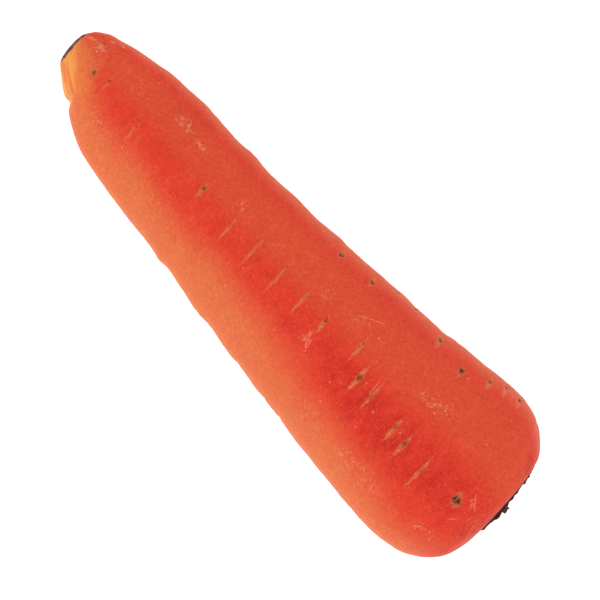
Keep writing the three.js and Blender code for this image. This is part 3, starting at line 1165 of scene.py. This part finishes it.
dried_stalk = bpy.data.materials.new("dried_stalk")
dried_stalk.use_nodes = True
tree = dried_stalk.node_tree
shader = tree.nodes["Principled BSDF"]
at = put(tree, "ShaderNodeTexCoord").outputs["Object"]
fibres = grain(tree, stretched(tree, at, (0.2, 1.0, 1.0)), 2400, 3, 0.6)
cork = put(tree, "ShaderNodeGroup", {"At": at, "Paleness": STUB_PALENESS}, node_tree=dry_cork)
colour = blend(tree, fade(tree, fibres, 0.55, 0.75), cork.outputs["Colour"], FIBRE)
tree.links.new(colour, shader.inputs["Base Color"])
tree.links.new(plus(tree, 0.6, (fibres, 0.3)), shader.inputs["Roughness"])
relief = maths(tree, "ADD", fibres, cork.outputs["Height"])
bump = put(tree, "ShaderNodeBump", {"Height": relief, "Strength": 0.8, "Distance": 0.2 * MM})
tree.links.new(bump.outputs["Normal"], shader.inputs["Normal"])
shader.inputs["Specular IOR Level"].default_value = 0.2
print("the stubs' material:", len(tree.nodes), "nodes")

# %% Look at a node from the crown
crown_turn = scar_normal.to_track_quat("Z", "Y").to_matrix().to_4x4()
crown_place = Matrix.Translation(scar_middle) @ crown_turn


def seen_from_crown(node):
    """A node's nearest and farthest distance from the crown's axis, the first and the last
    angle that it reaches round it, and how high it stands."""
    back = crown_place.inverted()
    local = [back @ vert.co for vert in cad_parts[node].data.vertices]
    middle = sum(local, Vector()) / len(local)
    bearing = math.atan2(middle.y, middle.x)
    distances = [math.hypot(place.x, place.y) for place in local]
    turns = []
    for place in local:
        turn = math.atan2(place.y, place.x) - bearing
        turns.append(bearing + math.atan2(math.sin(turn), math.cos(turn)))
    top = max(place.z for place in local)
    return min(distances), max(distances), min(turns), max(turns), top


print("the heart reaches", round(seen_from_crown("leaf_bud")[1] / MM, 1), "mm from the axis")

# %% [markdown]
# ## Shaping a stub
#
# A dried stub is an upright crescent with torn fibres at its top. Sculpting could fray it, but
# noise does it here, always from the same seed: a slow noise warps the whole stub, and two
# finer ones tear at it, more at its top than at its foot.

# %% The floor of a crescent
STUB_ROOT = 1.0 * MM  # how far a stub reaches into the crown's cork
LINE_STEPS = 4  # across a crescent
SPIN_STEPS = 18  # round it
BLUNTNESS = 2.5  # how suddenly its ends thin
THINNEST = 0.12  # the square of the ends' share of the thickness


def crescent(inner, outer, first, last):
    """A line spun round the crown's axis from the first angle to the last."""
    stub = bmesh.new()
    line = []
    for step in range(LINE_STEPS + 1):
        distance = inner + (outer - inner) * step / LINE_STEPS
        line.append(stub.verts.new((distance, 0, -STUB_ROOT)))
    for one, other in zip(line, line[1:]):
        stub.edges.new((one, other))
    bmesh.ops.spin(
        stub,
        geom=stub.verts[:] + stub.edges[:],
        cent=(0, 0, 0),
        axis=(0, 0, 1),
        angle=last - first,
        steps=SPIN_STEPS,
    )
    centre_line = (outer + inner) / 2
    for vert in stub.verts:
        share = math.atan2(vert.co.y, vert.co.x) / (last - first) * 2 - 1  # -1 and 1 at its ends
        distance = Vector((vert.co.x, vert.co.y, 0)).length
        slim = math.sqrt(max(1 - abs(share) ** BLUNTNESS, THINNEST))
        wanted = centre_line + (distance - centre_line) * slim
        vert.co.x *= wanted / distance
        vert.co.y *= wanted / distance
    bmesh.ops.rotate(stub, verts=stub.verts, cent=(0, 0, 0), matrix=Matrix.Rotation(first, 3, "Z"))
    return stub


print("a crescent's floor:", LINE_STEPS * SPIN_STEPS, "faces")

# %% Grow it upwards
STUB_LAYERS = 4
STUB_TAPER = 0.87  # each layer is this much smaller than the one under it


def raise_stub(stub, rise):
    """Extrudes the floor upwards in layers, and returns the faces of the top."""
    top = stub.faces[:]
    for _ in range(STUB_LAYERS):
        grown = bmesh.ops.extrude_face_region(stub, geom=top)["geom"]
        top = [item for item in grown if isinstance(item, bmesh.types.BMFace)]
        verts = list({vert for face in top for vert in face.verts})
        bmesh.ops.translate(stub, verts=verts, vec=(0, 0, rise / STUB_LAYERS))
        middle = sum((vert.co for vert in verts), Vector()) / len(verts)
        taper = (STUB_TAPER, STUB_TAPER, 1)
        bmesh.ops.scale(stub, verts=verts, vec=taper, space=Matrix.Translation(-middle))
    return top


print("the top is", round(STUB_TAPER**STUB_LAYERS, 2), "of the floor's width")

# %% Fray it
FRAY_SEED = 2  # noise_vector takes its offsets from the clock unless it is given a seed
WARP = 0.5 * MM
WARP_SIZE = 3 * MM
FRAY = 0.24 * MM
FRAY_SIZE = 1.1 * MM
SPLINTER_SIZE = 0.55 * MM
WARP_STEP = 2.3  # how far apart two stubs are in each noise
FRAY_STEP = 3.1
noise.seed_set(FRAY_SEED)


def fray_stub(stub, number, rise):
    """Warps a stub and tears its top. Each stub's number gives it its own part of the noise."""
    for vert in stub.verts:
        share = max((vert.co.z + STUB_ROOT) / rise, 0)  # 0 at the foot, 1 at the top
        warp = noise.noise_vector(vert.co / WARP_SIZE + Vector((0, number * WARP_STEP, 0)))
        vert.co += warp * WARP
        fray = noise.noise_vector(vert.co / FRAY_SIZE + Vector((number * FRAY_STEP, 0, 0)))
        vert.co += fray * FRAY * share
        flat = Vector((vert.co.x, vert.co.y, 0))
        splinter = noise.noise(flat / SPLINTER_SIZE + Vector((0, number, 0)))
        vert.co.z += splinter * FRAY * share


print("warped by up to", WARP / MM, "mm and torn by up to", round(FRAY / MM, 2), "mm")

# %% [markdown]
# ## One stub for each CAD node
#
# The CAD's stalk nodes are plain crescents. Each stub takes its reach and its height from its
# node, so it can't drift from where the CAD has it, and stands for that node. The withered
# heart between the innermost stalks is made the same way from a round floor.

# %% Finish a stub
STUB_MERGE = 0.01 * MM
STUB_LEVELS = 1


def finish_stub(stub, name, node, number, rise):
    """Frays a stub, stands it on the crown and dresses it."""
    bmesh.ops.remove_doubles(stub, verts=stub.verts, dist=STUB_MERGE)
    fray_stub(stub, number, rise)
    bmesh.ops.recalc_face_normals(stub, faces=stub.faces)
    bmesh.ops.transform(stub, matrix=crown_place, verts=stub.verts)
    mesh = as_mesh(stub, name)
    mesh.shade_smooth()
    mesh.materials.append(dried_stalk)
    piece = add_object(name, mesh)
    smooth = piece.modifiers.new("smooth", "SUBSURF")
    smooth.levels = STUB_LEVELS
    smooth.render_levels = STUB_LEVELS
    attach(piece, "root")
    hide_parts(node)


stalk_nodes = sorted(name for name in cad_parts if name.startswith("leaf_stalk"))
print("stalks in the frame:", len(stalk_nodes))

# %% Make the stalks' stubs
RIND = 0.22 * MM  # the rim left round the sunk pith
PITH_SINK = 0.25 * MM


def leaf_stub(node, number):
    """A stub for one of the CAD's leaf stalks."""
    inner, outer, first, last, top = seen_from_crown(node)
    stub = crescent(inner, outer, first, last)
    rise = top + STUB_ROOT
    cap = raise_stub(stub, rise)
    bmesh.ops.inset_region(stub, faces=cap, thickness=RIND, depth=-PITH_SINK)
    finish_stub(stub, node.replace("leaf_stalk", "leaf_stub"), node, number, rise)


for number, node in enumerate(stalk_nodes):
    leaf_stub(node, number)
print("stubs:", len(stalk_nodes))

# %% Make the withered heart
BUD_SEGMENTS = 16
BUD_NUMBER = 40
BUD_INSET = 0.6 * MM
BUD_RISE = 0.2 * MM  # its middle stands a little proud

_, bud_radius, _, _, bud_top = seen_from_crown("leaf_bud")
bud = bmesh.new()
bmesh.ops.create_circle(bud, cap_ends=True, segments=BUD_SEGMENTS, radius=bud_radius)
bmesh.ops.translate(bud, verts=bud.verts, vec=(0, 0, -STUB_ROOT))
bud_cap = raise_stub(bud, bud_top + STUB_ROOT)
bmesh.ops.inset_region(bud, faces=bud_cap, thickness=BUD_INSET, depth=BUD_RISE)
finish_stub(bud, "leaf_bud_stub", "leaf_bud", BUD_NUMBER, bud_top + STUB_ROOT)
print("the heart stands", round(bud_top / MM, 1), "mm high")
